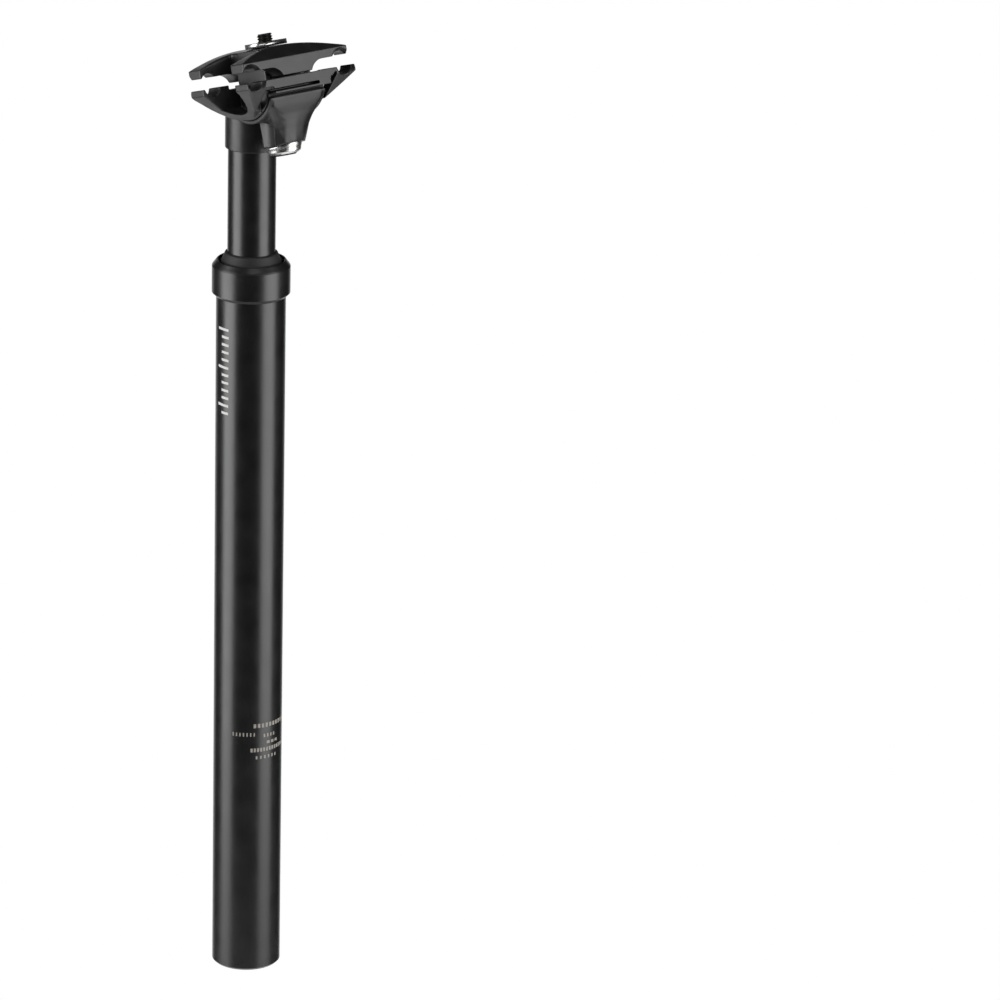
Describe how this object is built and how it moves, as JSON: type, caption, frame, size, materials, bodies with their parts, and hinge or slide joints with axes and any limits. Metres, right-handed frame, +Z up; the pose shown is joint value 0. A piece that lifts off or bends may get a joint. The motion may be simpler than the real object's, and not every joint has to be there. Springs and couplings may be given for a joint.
{
  "type": "dropper seatpost",
  "caption": "Sprung telescoping bicycle seatpost: a keyed inner tube slides in an outer tube and carries a tilting two-jaw saddle rail clamp on one bolt.",
  "frame": {"origin": "axis of the post at the underside of the collar, the top of the length that enters the bicycle frame", "axes": "+Z up along the post, +X towards the front of the bicycle, +Y to the rider's left"},
  "size_m": [0.0462, 0.053, 0.3851],
  "materials": {
    "black_anodised": "satin black anodised",
    "black_forged": "satin black, forged and blasted",
    "black_rubber": "matt",
    "polymer": "natural acetal",
    "brass": "turned",
    "spring_steel": "phosphated and oiled",
    "zinc_steel": "zinc plated",
    "dark_steel": "black oxide",
    "elastomer": "smooth"
  },
  "bodies": {
    "outer": {"outer_tube": "black_anodised", "top_collar": "black_anodised", "wiper_seal": "black_rubber", "upper_bushing": "polymer", "coil_spring": "spring_steel", "elastomer_core": "elastomer"},
    "shaft": {"inner_tube": "black_anodised", "top_out_bumper": "black_rubber", "anti_rotation_keys": "brass", "lower_bushing": "polymer", "retaining_ring": "spring_steel", "upper_spring_seat": "polymer", "head": "black_forged"},
    "cradle": {"lower_cradle": "black_forged", "dished_washer": "zinc_steel"},
    "clamp": {"upper_clamp": "black_forged", "nut_plate": "zinc_steel"},
    "bolt": {"clamp_bolt": "dark_steel"},
    "preload_seat": {"lower_spring_seat": "polymer"},
    "plug": {"preload_plug": "dark_steel"}
  },
  "joints": [
    {"name": "post_travel", "type": "slide", "parent": "outer", "child": "shaft", "axis": [0, 0, 1], "range_m": [-0.035, 0], "stiffness_N_per_m": 22600, "springref_m": 0.012, "deforming": ["coil_spring", "elastomer_core"]},
    {"name": "cradle_tilt", "type": "hinge", "parent": "shaft", "child": "cradle", "pos_m": [-0.0113, 0, 0.0896], "axis": [0, 1, 0], "range_deg": [-3, 6]},
    {"name": "clamp_lift", "type": "slide", "parent": "cradle", "child": "clamp", "axis": [0.284, 0, 0.9588], "range_m": [-0.0018, 0.0024]},
    {"name": "bolt_spin", "type": "hinge", "parent": "cradle", "child": "bolt", "pos_m": [-0.0113, 0, 0.0896], "axis": [0.284, 0, 0.9588], "range_deg": [-870, 655]},
    {"name": "preload_travel", "type": "slide", "parent": "outer", "child": "preload_seat", "axis": [0, 0, 1], "range_m": [0, 0.006], "deforming": ["coil_spring", "elastomer_core"]},
    {"name": "plug_spin", "type": "hinge", "parent": "preload_seat", "child": "plug", "pos_m": [0, 0, -0.271], "axis": [0, 0, 1], "range_deg": [-5, 1445]}
  ],
  "couplings": [
    {"joint": "bolt_spin", "follows": "clamp_lift", "rad_per_m": -6283.2},
    {"joint": "plug_spin", "follows": "preload_travel", "rad_per_m": 4188.8}
  ]
}
